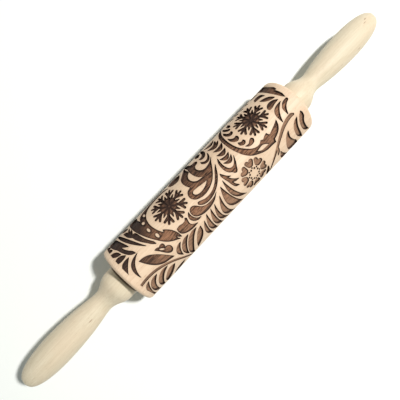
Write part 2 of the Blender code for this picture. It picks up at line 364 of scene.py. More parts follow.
def near_branch():
    """The bent stem below the fan, with the leaves on both its sides."""
    leaf = closed(
        [(-81.9, -0.9), (-77.6, -0.3), (-73.8, 1.2), (-70.6, 3.8), (-67.2, 7.4), (-64, 12),
         (-60.8, 17.2)],
        [(-65, 16.2), (-69.6, 14.8), (-74, 11.8), (-77.6, 7.4), (-80, 3.2)])
    heart = closed(
        [(-67.9, 2), (-65.6, 2), (-63.8, 2.9)],
        [(-62, 2.2), (-60.2, 2.7), (-59.8, 4.4), (-60.5, 6)],
        [(-58, 6.8), (-56.8, 9.2), (-57.4, 11.6), (-59.4, 12.7), (-61.6, 11.6), (-64, 8.2), (-65.8, 5)])
    heart_middle = closed(
        [(-65.4, 3.9), (-63.6, 4.2), (-61.8, 6), (-61.6, 7.1)],
        [(-63.4, 6.6), (-64.8, 5.2)])
    stem = stroke(
        [(-95.5, 13.9), (-88, 13.1), (-81, 13.4), (-74.6, 14.9), (-68.6, 17.3), (-63, 20.6), (-58.4, 24.8),
         (-54.6, 29.2), (-51.4, 34), (-50.2, 36.6)],
        [0.9, 1.0, 1.0, 1.0, 0.95, 0.9, 0.9, 0.85, 0.75, 0.4])
    crescents = [
        closed(
            [(-88.2, 15.9), (-91.6, 17.1), (-94, 20.4), (-95, 26), (-95, 36)],
            [(-92.6, 37)],
            [(-92.6, 30), (-92, 24.6), (-90.6, 20)]),
        closed(
            [(-80, 16.7), (-84.4, 16.6), (-88.2, 19), (-90.6, 23.4), (-91, 28.6), (-89.6, 34),
             (-87.2, 37.6)],
            [(-87.6, 31.6), (-87, 26.2), (-84.8, 21.2)]),
        closed(
            [(-69.8, 18.9), (-74.4, 17.9), (-78.8, 19.4), (-82.6, 23), (-84.6, 28), (-84.3, 33),
             (-82.4, 38)],
            [(-81.6, 32), (-79.4, 26.4), (-75.6, 22)]),
        closed(
            [(-64.8, 23.2), (-69.2, 22.2), (-73.6, 24), (-77.4, 28), (-79.2, 32.6), (-78.4, 38.4)],
            [(-74.8, 34.6), (-71, 30.4), (-67.6, 26.8)]),
        closed(
            [(-57, 31), (-62, 30.9), (-66.4, 32.4), (-70, 35.6), (-71.4, 39.5)],
            [(-66, 38.2), (-61, 35.2)]),
    ]
    leaflets = [
        closed(
            [(-49.7, 12.3), (-53.4, 12.9), (-56.6, 15.2), (-57.7, 18.6), (-55.2, 23.7)],
            [(-54.6, 19.6), (-52.9, 15.8)]),
        closed(
            [(-41.4, 12.7), (-46.4, 12.9), (-50.8, 15.8), (-53.3, 20.4), (-52.8, 25.4), (-51.2, 29)],
            [(-50.6, 24.4), (-48.4, 19.6), (-45.4, 15.8)]),
        closed(
            [(-33.2, 13.8), (-38, 13.4), (-43, 15.6), (-47.4, 20.4), (-49.8, 26.4), (-49.5, 32.4),
             (-47.4, 38)],
            [(-46.7, 32), (-44.6, 26), (-41, 20.2), (-37.2, 16.4)]),
        closed(
            [(-30.1, 15.6), (-34, 17.2), (-38, 21.2), (-41, 26.4), (-42.4, 33.6)],
            [(-37.8, 29.4), (-33.6, 25), (-31, 20.6)]),
    ]
    return (at_depth(SHALLOW, [stem]) + at_depth(DEEP, [leaf, heart] + crescents + leaflets)
            + at_depth(LAND, [heart_middle]))


def middle_scroll():
    """The big scroll in the middle, with the curls and leaves that hang on it."""
    cup = closed(
        [(-24.3, -33.4), (-22.6, -29), (-19.4, -27), (-15.6, -26.8), (-12.8, -29.6), (-11, -33.4)],
        [(-14, -36.4), (-18, -37.6), (-22, -36.2)])
    scroll = closed(
        [(-2.4, -40.5), (-6.2, -33.6), (-9.6, -28.8), (-13.6, -25), (-15.3, -20.6), (-15.3, -16),
         (-14, -11.8)],
        [(-17.6, -10.9), (-19.8, -8.2), (-19.9, -5), (-17.9, -2), (-14, -0.2), (-9, 0.3), (-3.6, -0.7),
         (1.5, -3), (6, -6.6), (9.8, -11), (12.8, -15), (15.6, -17.9)],
        [(12, -15.6), (8, -14.3), (5, -14.1), (2.2, -15.4), (0.6, -17.8), (0.3, -20.6), (1.2, -23),
         (2.6, -24.2)],
        [(5, -24.8), (5.8, -27), (4.4, -29), (2, -29.2), (0.2, -31), (-0.6, -35)])
    scroll_islands = [
        closed(
            [(-4.7, -24.6), (-8, -22), (-9.8, -18.4), (-9.4, -14.6), (-6.8, -11.6), (-0.6, -10.2)],
            [(-3.4, -13), (-4.7, -16.8), (-4.9, -20.6)]),
        closed(
            [(-0.6, -6.1), (-4.2, -4.2), (-8.6, -3), (-13, -3.1), (-15.6, -4.6), (-16.2, -6.6),
             (-14.8, -8), (-11.6, -8), (-6.6, -7.1)]),
        blade((-4.2, -36), (-4.6, -24), 0.9, -0.5),
    ]
    hooks = [
        closed(
            [(7, -22.2), (6.6, -19.8), (8.4, -17.3), (11.2, -16.7), (13.8, -18), (15.8, -21),
             (16.7, -24.8)],
            [(14.9, -21.6), (12.6, -19.5), (10.4, -19), (8.6, -20)]),
        closed(
            [(8.2, -26.4), (9, -24), (11.4, -23), (14, -24.2), (16, -27.4), (16.6, -32), (15.8, -38)],
            [(14.2, -33), (13.4, -29), (11.6, -26.6)]),
        closed([(9.6, -29.6), (7.8, -32.6), (8.6, -36.4), (10.8, -38.4)], [(12.8, -35), (12.2, -31.6)]),
    ]
    maple_leaf = closed(
        [(-44.6, 3.3), (-41.6, 2.9), (-38.6, 3.6), (-36, 3.5)],
        [(-34.3, 1.7)],
        [(-33.4, 2.6), (-34.3, 5.4), (-34.5, 8), (-33.4, 9.8), (-29.6, 12)],
        [(-35, 12.2), (-40, 11.2), (-43.8, 9), (-45.1, 6.4)])
    curls = [
        closed(
            [(-29.2, 0.6), (-31.4, 2.8), (-32.1, 5.6), (-30.8, 8.4), (-27.8, 10.4), (-24.2, 10.4)],
            [(-27.2, 9), (-29, 6.4), (-29.6, 3.6)]),
        closed(
            [(-2.6, 5.5), (-6.4, 7), (-11, 7.4), (-15.6, 6.8), (-19, 4.9), (-21, 2.2), (-22.8, 0.3),
             (-25.2, -0.4), (-27.6, 0.9), (-28.5, 3.8), (-27.4, 7), (-24, 9.4), (-19.4, 10.6),
             (-13.6, 10.5), (-8, 9)]),
        closed(
            [(12.9, -10.3), (8.8, -6.8), (5, -3), (1, 0.2), (-3.4, 2.4), (-8, 3.3), (-12.4, 3),
             (-16, 1.6), (-18.6, 0.9), (-19.4, 2.2), (-17.2, 4.6), (-13.6, 6), (-9, 6.1), (-4, 4.9),
             (0.6, 2.8), (4.8, -0.2), (8.6, -4)]),
    ]
    return at_depth(DEEP, [cup, scroll, maple_leaf] + hooks + curls) + at_depth(LAND, scroll_islands)


def feathers():
    """The row of long curved leaves below the scroll, and the small branch beside them."""
    branch = closed(
        [(9.4, -2.2), (10.4, 0), (12, 2.8), (14.5, 5.3)],
        [(11.8, 4.6)],
        [(13.6, 7.4), (15.6, 9.6), (18.2, 11.5)],
        [(14.6, 11), (12.2, 9.8)],
        [(13, 12.4), (15.2, 16)],
        [(12.2, 14.6), (10.6, 11.4), (9.8, 7), (8.9, 3), (8.6, -0.4)])
    return at_depth(DEEP, [
        blade((-25.1, 15.2), (-25, 35.5), 4.8, 1.5),
        blade((-20.4, 12.3), (-19, 36.5), 5.6, 1.5),
        blade((-15.1, 11.7), (-12.6, 37), 5.9, 2.0),
        blade((-10.4, 11.4), (-5.4, 36.5), 6.7, 3.2),
        blade((-2.9, 9.6), (2.4, 38), 8.9, 4.1),
        blade((2.4, 5.2), (11.4, 34.8), 9.0, 1.9),
        blade((7, 2.9), (16.4, 30.4), 6.4, 2.6),
        branch,
    ])


def cups():
    """The column of nested cups, the bowl that holds it, and the ring flower beside it."""
    bowl = closed(
        [(17.4, -12.2), (15, -8.8), (14, -4.4), (14.2, -0.4), (15.6, 2.4), (17.6, 4.2), (18.6, 6),
         (20, 6.6), (21.4, 5.8), (23, 3.4), (25.2, 0.4), (27.8, -4.5)],
        [(25, -1.2), (22.4, 0.9), (20, 1.3), (17.9, 0.3), (16.7, -2), (16.2, -5.6)])
    curl = closed([(28.3, -29.4), (28.5, -27), (26.6, -25.2), (22.8, -24.9)], [(25.6, -26.4)])
    nested = [
        blade((17.7, -33.5), (29.4, -33.5), 5.9, 1.8),
        blade((18.1, -26.4), (30.6, -25.8), 5.3, 1.0),
        blade((19.6, -19.6), (30.2, -20.4), 4.8, 0.9),
        blade((18.8, -14.4), (28.2, -14.2), 4.1, 0.5),
        blade((17.9, -10.2), (27.2, -9.6), 4.2, 1.0),
        blade((17.5, -5.8), (27.0, -6.6), 4.2, 1.3),
    ]
    return at_depth(DEEP, [bowl, curl] + nested) + ring_flower((30.5, 19.4), 13.0, 8)


def arc_and_commas():
    """The long arc round the second snowflake, and the commas between them."""
    arc = closed(
        [(38.6, 7), (36, 4.4), (33.4, 0.6), (31.4, -4.6), (30.3, -10), (30.3, -16), (31.1, -22),
         (33, -27.8), (36.4, -33), (41.6, -39)],
        [(38, -31.5), (35.4, -26), (33.9, -20.4), (33.3, -14.6), (33.7, -9.4), (35.2, -5), (37.8, -1.2),
         (41, 2.2), (44.6, 4.3), (48.4, 4.8), (51.6, 3.2)],
        [(53.4, 4.2), (56, 3.1), (58.8, 2.4)],
        [(59.4, 4.4), (60.6, 5.2)],
        [(64, 4), (68, 2.6), (72.2, 0.8)],
        [(70.8, 4.4), (68.2, 7.6), (64.6, 9.6), (61, 10.8)],
        [(60.4, 13.4)],
        [(56, 12.9), (51, 12.6), (46.4, 11.2), (42, 9)])
    arc_island = closed(
        [(43.2, 7.2), (46, 6.8), (50, 6.6), (52.4, 7.8), (54.8, 10.2)],
        [(50.5, 10.1), (46.8, 9.6)])
    commas = [
        closed(
            [(41.2, -33.5), (39.9, -30.6), (40, -27.2), (41.2, -24.6), (43, -23.6), (44, -24.8),
             (43.6, -26)],
            [(42.4, -27.6), (41.8, -30)]),
        closed(
            [(37.8, -27.4), (36.4, -24.4), (36.8, -21), (38.6, -18.6), (41, -18.2), (42.7, -19.8),
             (42.4, -21.6)],
            [(40.6, -21), (39, -22.6), (38.2, -25)]),
        closed(
            [(35.4, -18.2), (35, -15), (36.4, -11.8), (38.8, -10.2), (41, -10.8), (42, -12.8),
             (41.4, -14.4)],
            [(39, -14.1), (37, -15.4)]),
        closed(
            [(37.7, -8.8), (37.1, -6.6), (38.6, -4.7), (41, -4.2), (42.8, -5.6), (42.4, -7.6)],
            [(40, -7.2)]),
        closed(
            [(39.4, -2.4), (41.6, -0.4), (44.6, 0.3), (47.4, -0.3), (48.5, -2.3), (47.4, -3.9)],
            [(45.4, -3.3), (43, -1.9)]),
        closed([(46.6, -33), (44.2, -30.6), (44.2, -27.6), (45.8, -26.4), (46.8, -28)], [(47, -30.4)]),
    ]
    small_leaves = [blade((x, -37.6), (x + 3.6, -33.2), 0.6, -1.6) for x in (51, 57, 63, 69)]
    flake = snowflake((59.4, -15.1), 14.8, -12)
    return at_depth(DEEP, [arc] + commas + small_leaves) + flake + at_depth(LAND, [arc_island])


def far_end():
    """The leaves at the barrel's far end."""
    end_leaf = closed(
        [(86, -38), (86.2, -31), (86.6, -25), (87.5, -19), (89, -13.4), (90.5, -9.2), (91.9, -7)],
        [(92.6, -10.6), (92.4, -14.6), (91.9, -18.4)],
        [(93.4, -17.6)],
        [(94.2, -22), (94.8, -30), (95, -38)],
        [(90, -40.5)])
    side_leaves = [
        closed(
            [(75.0, -25.2), (76.8, -28.6), (80.4, -29.2), (83.3, -26.8), (83.9, -21.8)],
            [(81.2, -24), (78.4, -24.6)]),
        closed([(76, -34), (79, -36.4), (82.4, -35.6), (84, -32)], [(81, -33.2)]),
        blade((77.0, -21.4), (86.6, -13.1), 2.1, -1.8),
        closed(
            [(86.5, -9.6), (83.6, -12.2), (80, -13.3), (76.6, -12.5), (74.7, -10.2), (75.2, -8.3)],
            [(78, -8.3), (81.4, -9.1)]),
        blade((86.6, -7.0), (75.2, 6.4), 6.1, 2.2),
        stroke([(91, -4.6), (87.4, -3.6), (84.2, -0.8), (82.8, 4.4)], [1.1, 1.6, 1.6, 0.2]),
    ]
    return at_depth(DEEP, [end_leaf] + side_leaves)


def far_branch():
    """The stem that runs out to the far end, with its spur and the leaves below it."""
    stem = stroke(
        [(44.8, 36.4), (47.2, 30.6), (51, 25.6), (56, 20.6), (61.4, 16.2), (67, 12.4), (73, 9.2), (79, 7.4),
         (84, 6.9), (85.8, 7.6)],
        [0.5, 0.7, 0.9, 1.0, 1.1, 1.2, 1.3, 1.4, 1.4, 0.9])
    spur = blade((59.6, 19.4), (56.3, 26.2), 1.2, -1.0)
    leaves = [
        closed(
            [(59.7, 24.2), (58.5, 28.4), (58.8, 33), (61.4, 37)],
            [(67, 38)],
            [(63.6, 32.4), (61.2, 28)]),
        closed(
            [(74.2, 14.5), (70.8, 16.8), (68, 21.6), (67, 27.4), (68.6, 33.4), (73, 38)],
            [(79.6, 37.4)],
            [(77.8, 30.6), (74.8, 25.4), (73, 20.4)]),
        closed(
            [(87, 11.5), (83, 13), (80, 16.6), (79, 21), (79.6, 26), (82.4, 31), (85.6, 35)],
            [(84.4, 29), (83.6, 23), (84, 17.6)]),
        closed(
            [(92.4, 10.2), (89.4, 12.8), (86.9, 17), (86.4, 21.6), (87.6, 26.6), (90.6, 31), (94, 34)],
            [(91.6, 28), (90.6, 23.4), (90.9, 18.8), (92.9, 15.6)],
            [(93.2, 12)]),
        blade((43.9, 25.4), (41.4, 38.5), 2.0, -1.6),
    ]
    return at_depth(SHALLOW, [stem, spur]) + at_depth(DEEP, leaves)


def drawing():
    """Every outline of one drawing with its depth: where two overlap, the later one rules."""
    parts = (near_fan, dotted_band, near_branch, middle_scroll, feathers, cups, arc_and_commas, far_end,
             far_branch)
    outlines = at_depth(DEEP, vine(TILE / 2, -60, 86))
    for part in parts:
        outlines += part()
    return outlines


# ---------------------------------------------------------------- engraved shell

def clipped(outline, axis, limit, keep_above):
    """The part of a closed outline on one side of a limit across one axis."""
    sign = 1 if keep_above else -1
    kept = []
    for start, end in zip(outline, np.roll(outline, -1, axis=0)):
        start_in = sign * (start[axis] - limit) >= 0
        end_in = sign * (end[axis] - limit) >= 0
        if start_in:
            kept.append(start)
        if start_in != end_in:
            crossing = start + (end - start) * (limit - start[axis]) / (end[axis] - start[axis])
            crossing[axis] = limit
            kept.append(crossing)
    return np.array(kept).reshape(-1, 2)


def grown(outline, distance):
    """A closed outline moved outwards by a distance, or inwards by a negative one."""
    before = outline - np.roll(outline, 1, axis=0)
    after = np.roll(before, -1, axis=0)
    lengths = [np.linalg.norm(step, axis=1)[:, None] for step in (before, after)]
    along = before / lengths[0] + after / lengths[1]
    along /= np.linalg.norm(along, axis=1)[:, None]
    following = np.roll(outline, -1, axis=0)
    area = (outline[:, 0] * following[:, 1] - outline[:, 1] * following[:, 0]).sum()
    outwards = np.stack((along[:, 1], -along[:, 0]), axis=1) * np.sign(area)
    return outline + distance * outwards


def tiled_drawing():
    """The drawing as the beam cuts it, with its neighbours' overhanging parts, cut to one tile."""
    limits = (
        (0, ENGRAVED_FROM, True),
        (0, ENGRAVED_TO, False),
        (1, -TILE / 2, True),
        (1, TILE / 2, False),
    )
    outlines = []
    for outline, depth in drawing():
        outline = grown(outline, BEAM_RADIUS if depth > LAND else -BEAM_RADIUS)
        for shift in (-TILE, 0, TILE):
            piece = outline + (0, shift)
            for axis, limit, keep_above in limits:
                if len(piece):
                    piece = clipped(piece, axis, limit, keep_above)
            if len(piece) > 2:
                outlines.append((piece, depth))
    return outlines


def inside(outline, points):
    """Which of the points lie inside a closed outline."""
    result = np.zeros(len(points), bool)
    low, high = outline.min(axis=0), outline.max(axis=0)
    near = np.flatnonzero(((points >= low) & (points <= high)).all(axis=1))
    ends = np.roll(outline, -1, axis=0)
    level = outline[:, 1] != ends[:, 1]
    starts, ends = outline[level], ends[level]
    slopes = (ends[:, 0] - starts[:, 0]) / (ends[:, 1] - starts[:, 1])
    x, c = points[near, :1], points[near, 1:]
    upward = (ends[:, 1] > c).astype(int) - (starts[:, 1] > c)
    right_of = x < starts[:, 0] + (c - starts[:, 1]) * slopes
    result[near] = (upward * right_of).sum(axis=1) != 0
    return result


def depths_at(points, outlines):
    """How deep the engraving is at each point."""
    depths = np.full(len(points), LAND)
    for outline, depth in outlines:
        depths[inside(outline, points)] = depth
    return depths


def grid_points(step_x, step_c):
    """A grid over one tile, every second row shifted by half a step, without the tile's edges."""
    points = []
    rows = round(TILE / step_c)
    columns = round(2 * RIM_START / step_x)
    for row in range(1, rows):
        shift = 0.5 * (row % 2)
        for column in range(1, columns):
            x = -RIM_START + (column + shift) * 2 * RIM_START / columns
            points.append((x, -TILE / 2 + row * TILE / rows))
    points = np.array(points)
    return points[points[:, 0] < RIM_START - step_x / 3]


def edge_points():
    """Points along a tile's four edges. The ends' points are the ones where the rims begin."""
    c = np.linspace(-TILE / 2, TILE / 2, TILE_DIVISIONS + 1)
    x = np.linspace(-RIM_START, RIM_START, round(2 * RIM_START / LAND_GRID[0]) + 1)[1:-1]
    ends = [np.stack((np.full_like(c, side * RIM_START), c), axis=1) for side in (-1, 1)]
    sides = [np.stack((x, np.full_like(x, side * TILE / 2)), axis=1) for side in (-1, 1)]
    return np.vstack(ends + sides)


def search_tree(points):
    """A tree that finds the nearest of some points of the drawing."""
    tree = KDTree(len(points))
    for index, (x, c) in enumerate(points):
        tree.insert((x, c, 0), index)
    tree.balance()
    return tree


def clear_of_outlines(points, outlines):
    """The points that aren't close to any outline's own points."""
    tree = search_tree(np.vstack([outline for outline, depth in outlines]))
    far = [tree.find((x, c, 0))[2] > GRID_CLEARANCE for x, c in points]
    return points[np.array(far)]


def triangulated(outlines):
    """Points and triangles of one flat tile whose edges follow every outline."""
    land = grid_points(*LAND_GRID)
    land = land[depths_at(land, outlines) == LAND]
    floor = grid_points(FLOOR_GRID, FLOOR_GRID)
    floor = floor[depths_at(floor, outlines) > LAND]
    loose = clear_of_outlines(np.vstack((land, floor)), outlines)
    points = [tuple(point) for point in np.vstack((edge_points(), loose))]
    edges = []
    for outline, depth in outlines:
        first = len(points)
        points += [tuple(point) for point in outline]
        count = len(outline)
        edges += [(first + index, first + (index + 1) % count) for index in range(count)]
    corners = [Vector(point) for point in points]
    flat, _, triangles = delaunay_2d_cdt(corners, edges, [], 0, JOIN_DISTANCE, False)[:3]
    return np.array([tuple(point) for point in flat]), np.array([tuple(t) for t in triangles])


def on_barrel(x, c, depth):
    """The point of the barrel, in metres, under a point of the drawing."""
    angle = c / BARREL_RADIUS
    radius = BARREL_RADIUS - depth
    return (x * MM, -radius * math.sin(angle) * MM, radius * math.cos(angle) * MM)


def tile_faces():
    """One tile's land, floors and walls: faces with their material, and vertices.

    A vertex is x, c, its depth, its margin (how far the nearest wall is) and its cut (its drawn depth).
    """
    outlines = tiled_drawing()
    flat, triangles = triangulated(outlines)
    depths = depths_at(flat[triangles].mean(axis=1), outlines)
    owner = {}
    for triangle, depth in zip(triangles, depths):
        for index in range(3):
            owner[triangle[index], triangle[(index + 1) % 3]] = depth
    walls = []
    for (a, b), depth in owner.items():
        if owner.get((b, a), depth) > depth:
            walls.append((a, b, depth, owner[b, a]))

    tree = search_tree([flat[wall[0]] for wall in walls])
    numbers = {}
    vertices = []
    faces = []

    def vertex(index, depth):
        if (index, depth) not in numbers:
            numbers[index, depth] = len(vertices)
            x, c = flat[index]
            margin = tree.find((x, c, 0))[2]
            rough = 0.0
            if depth > LAND and margin > GRID_CLEARANCE / 2 and abs(c) < TILE / 2 - GRID_CLEARANCE:
                place = (x / ROUGHNESS_SIZE[0], c / ROUGHNESS_SIZE[1], depth)
                rough = FLOOR_ROUGHNESS * noise.noise(place)
            vertices.append((x, c, depth + rough, margin, depth))
        return numbers[index, depth]

    for triangle, depth in zip(triangles, depths):
        corners = [vertex(index, depth) for index in reversed(triangle)]
        faces.append((corners, 0 if depth == LAND else 1))
    for a, b, upper, lower in walls:
        corners = [vertex(b, upper), vertex(b, lower), vertex(a, lower), vertex(a, upper)]
        faces.append((corners, 2))
    return vertices, faces


# ---------------------------------------------------------------- turned shapes

def arc_points(centre, radius, start, end, steps):
    """Points (x, r) of an arc from angle start to angle end in degrees, 0 degrees lying along x."""
    angles = np.radians(np.linspace(start, end, steps + 1))
    return [(centre[0] + radius * math.cos(a), centre[1] + radius * math.sin(a)) for a in angles]


def bezier(start, start_pull, end_pull, end, steps):
    """Points of a cubic curve after its start, up to and including its end."""
    t = np.linspace(0, 1, steps + 1)[1:, None]
    corners = np.array((start, start_pull, end_pull, end))
    weights = np.hstack(((1 - t) ** 3, 3 * t * (1 - t) ** 2, 3 * t * t * (1 - t), t ** 3))
    return [tuple(point) for point in weights @ corners]


def revolved(profile, divisions, wobble=0.0):
    """Vertices and quads of a profile of (x, r) points, in millimetres, turned about the x axis."""
    vertices = []
    faces = []
    for x, radius in profile:
        for index in range(divisions):
            angle = math.tau * index / divisions
            cos = math.cos(angle)
            sin = math.sin(angle)
            waver = wobble * noise.noise((x / WOBBLE_LENGTH, WOBBLE_ROUND * cos, WOBBLE_ROUND * sin))
            wavy = max(0.0, radius + waver) if radius > 0 else 0.0
            vertices.append((x * MM, -wavy * sin * MM, wavy * cos * MM))
    for ring in range(len(profile) - 1):
        first = ring * divisions
        second = first + divisions
        for index in range(divisions):
            after = (index + 1) % divisions
            faces.append((first + index, first + after, second + after, second + index))
    return vertices, faces


def mesh_object(name, vertices, faces, materials):
    """A mesh object with its materials, in the scene's collection."""
    mesh = bpy.data.meshes.new(name)
    mesh.from_pydata(vertices, [], faces)
    for material in materials:
        mesh.materials.append(material)
    obj = bpy.data.objects.new(name, mesh)
    bpy.context.scene.collection.objects.link(obj)
    return obj


def weld(mesh):
    """Merges doubled points and shades the mesh smooth, with sharp edges where it turns steeply."""
    editor = bmesh.new()
    editor.from_mesh(mesh)
    bmesh.ops.remove_doubles(editor, verts=editor.verts, dist=WELD_DISTANCE)
    bmesh.ops.dissolve_degenerate(editor, edges=editor.edges, dist=WELD_DISTANCE / 10)
    editor.to_mesh(mesh)
    editor.free()
    mesh.shade_smooth()
    mesh.set_sharp_from_angle(angle=SHARP_ANGLE)


def barrel_profile():
    """The barrel's rims, end faces, bush seats and bore, from the far rim to the near one."""
    rim_centre = (RIM_START, BARREL_RADIUS - RIM_RADIUS)
    recess_floor = BARREL_END - FLANGE_RECESS_DEPTH
    pocket_floor = BARREL_END - BUSH_POCKET_DEPTH
    far_half = arc_points(rim_centre, RIM_RADIUS, 90, 0, RIM_STEPS) + [
        (BARREL_END, (BARREL_RADIUS - RIM_RADIUS + FLANGE_RECESS_RADIUS) / 2),
        (BARREL_END, FLANGE_RECESS_RADIUS),
        (recess_floor, FLANGE_RECESS_RADIUS),
        (recess_floor, BUSH_POCKET_RADIUS),
        (pocket_floor, BUSH_POCKET_RADIUS),
        (pocket_floor, BORE_RADIUS),
    ]
    return far_half + [(-x, radius) for x, radius in reversed(far_half)]


def make_barrel(materials):
    """The barrel with its engraving: land, floors and walls from the drawing, closed by turned ends."""
    tile_vertices, faces_of_tile = tile_faces()
    vertices = []
    margins = []
    cuts = []
    faces = []
    kinds = []
    for turn in (0, 1):
        first = len(vertices)
        for x, c, depth, margin, cut in tile_vertices:
            vertices.append(on_barrel(x, c + turn * TILE, depth))
            margins.append(margin)
            cuts.append(cut)
        for corners, kind in faces_of_tile:
            faces.append(tuple(first + corner for corner in corners))
            kinds.append(kind)
    first = len(vertices)
    end_vertices, end_faces = revolved(barrel_profile(), 2 * TILE_DIVISIONS)
    vertices += end_vertices
    margins += [FAR_FROM_WALLS] * len(end_vertices)
    cuts += [LAND] * len(end_vertices)
    faces += [tuple(first + corner for corner in face) for face in end_faces]
    kinds += [0] * len(end_faces)

    barrel = mesh_object("engraved_barrel", vertices, faces, materials)
    mesh = barrel.data
    mesh.attributes.new("margin", "FLOAT", "POINT").data.foreach_set("value", margins)
    mesh.attributes.new("cut", "FLOAT", "POINT").data.foreach_set("value", cuts)
    mesh.polygons.foreach_set("material_index", kinds)
    weld(mesh)
    round_land_normals(mesh)
    return barrel


def round_land_normals(mesh):
    """Shades the land as part of a true cylinder. Elsewhere a zero normal keeps the mesh's own."""
    points = np.zeros(len(mesh.vertices) * 3)
    mesh.vertices.foreach_get("co", points)
    corners = np.zeros(len(mesh.loops), int)
    mesh.loops.foreach_get("vertex_index", corners)
    kinds = np.zeros(len(mesh.polygons), int)
    mesh.polygons.foreach_get("material_index", kinds)
    sizes = np.zeros(len(mesh.polygons), int)
    mesh.polygons.foreach_get("loop_total", sizes)
    normals = points.reshape(-1, 3)[corners]
    normals[:, 0] = 0.0
    radii = np.linalg.norm(normals, axis=1)
    on_land = (np.repeat(kinds, sizes) == 0) & (radii > (BARREL_RADIUS - WELD_DISTANCE / MM) * MM)
    normals[on_land] /= radii[on_land, None]
    normals[~on_land] = 0.0
    mesh.normals_split_custom_set(normals)


def handle_profile():
    """The far handle's outside and the hole for its nut, insert and rod, as one line along x."""
    cove_span = NECK_STATION - COLLAR_LENGTH
    swell_span = GRIP_STATION - NECK_STATION
    tip_span = HANDLE_LENGTH - GRIP_STATION
    cove_start, neck = (COLLAR_LENGTH, COLLAR_RADIUS), (NECK_STATION, NECK_RADIUS)
    grip, tip = (GRIP_STATION, GRIP_RADIUS), (HANDLE_LENGTH, TIP_FLAT_RADIUS)
    cove_pulls = (
        (COLLAR_LENGTH + COVE_PULL[0] * cove_span, COLLAR_RADIUS),
        (NECK_STATION - COVE_PULL[1] * cove_span, NECK_RADIUS),
    )
    swell_pulls = (
        (NECK_STATION + SWELL_PULL[0] * swell_span, NECK_RADIUS),
        (GRIP_STATION - SWELL_PULL[1] * swell_span, GRIP_RADIUS),
    )
    tip_pulls = (
        (GRIP_STATION + TIP_PULL[0] * tip_span, GRIP_RADIUS),
        (HANDLE_LENGTH, TIP_FLAT_RADIUS + TIP_PULL[1] * (GRIP_RADIUS - TIP_FLAT_RADIUS)),
    )
    hole = [
        (PILOT_DEPTH, 0.0),
        (PILOT_DEPTH, PILOT_RADIUS),
        (INSERT_HOLE_DEPTH, PILOT_RADIUS),
        (INSERT_HOLE_DEPTH, INSERT_HOLE_RADIUS),
        (NUT_RECESS_DEPTH, INSERT_HOLE_RADIUS),
        (NUT_RECESS_DEPTH, NUT_RECESS_RADIUS),
        (0.0, NUT_RECESS_RADIUS),
    ]
    edge_centre = (COLLAR_EDGE_RADIUS, COLLAR_RADIUS - COLLAR_EDGE_RADIUS)
    outside = arc_points(edge_centre, COLLAR_EDGE_RADIUS, 180, 90, RIM_STEPS) + [cove_start]
    outside += bezier(cove_start, *cove_pulls, neck, CURVE_STEPS)
    outside += bezier(neck, *swell_pulls, grip, CURVE_STEPS)
    outside += bezier(grip, *tip_pulls, tip, CURVE_STEPS)
    return [(COLLAR_FACE + x, radius) for x, radius in hole + outside + [(HANDLE_LENGTH, 0.0)]]


def make_handle(word, side, material):
    """One handle: the far one's profile, mirrored for the near one."""
    profile = handle_profile()
    if side < 0:
        profile = [(-x, radius) for x, radius in reversed(profile)]
    vertices, faces = revolved(profile, HANDLE_DIVISIONS, HANDLE_WOBBLE)
    handle = mesh_object("turned_handle_" + word, vertices, faces, [material])
    weld(handle.data)
    return handle


# ---------------------------------------------------------------- materials

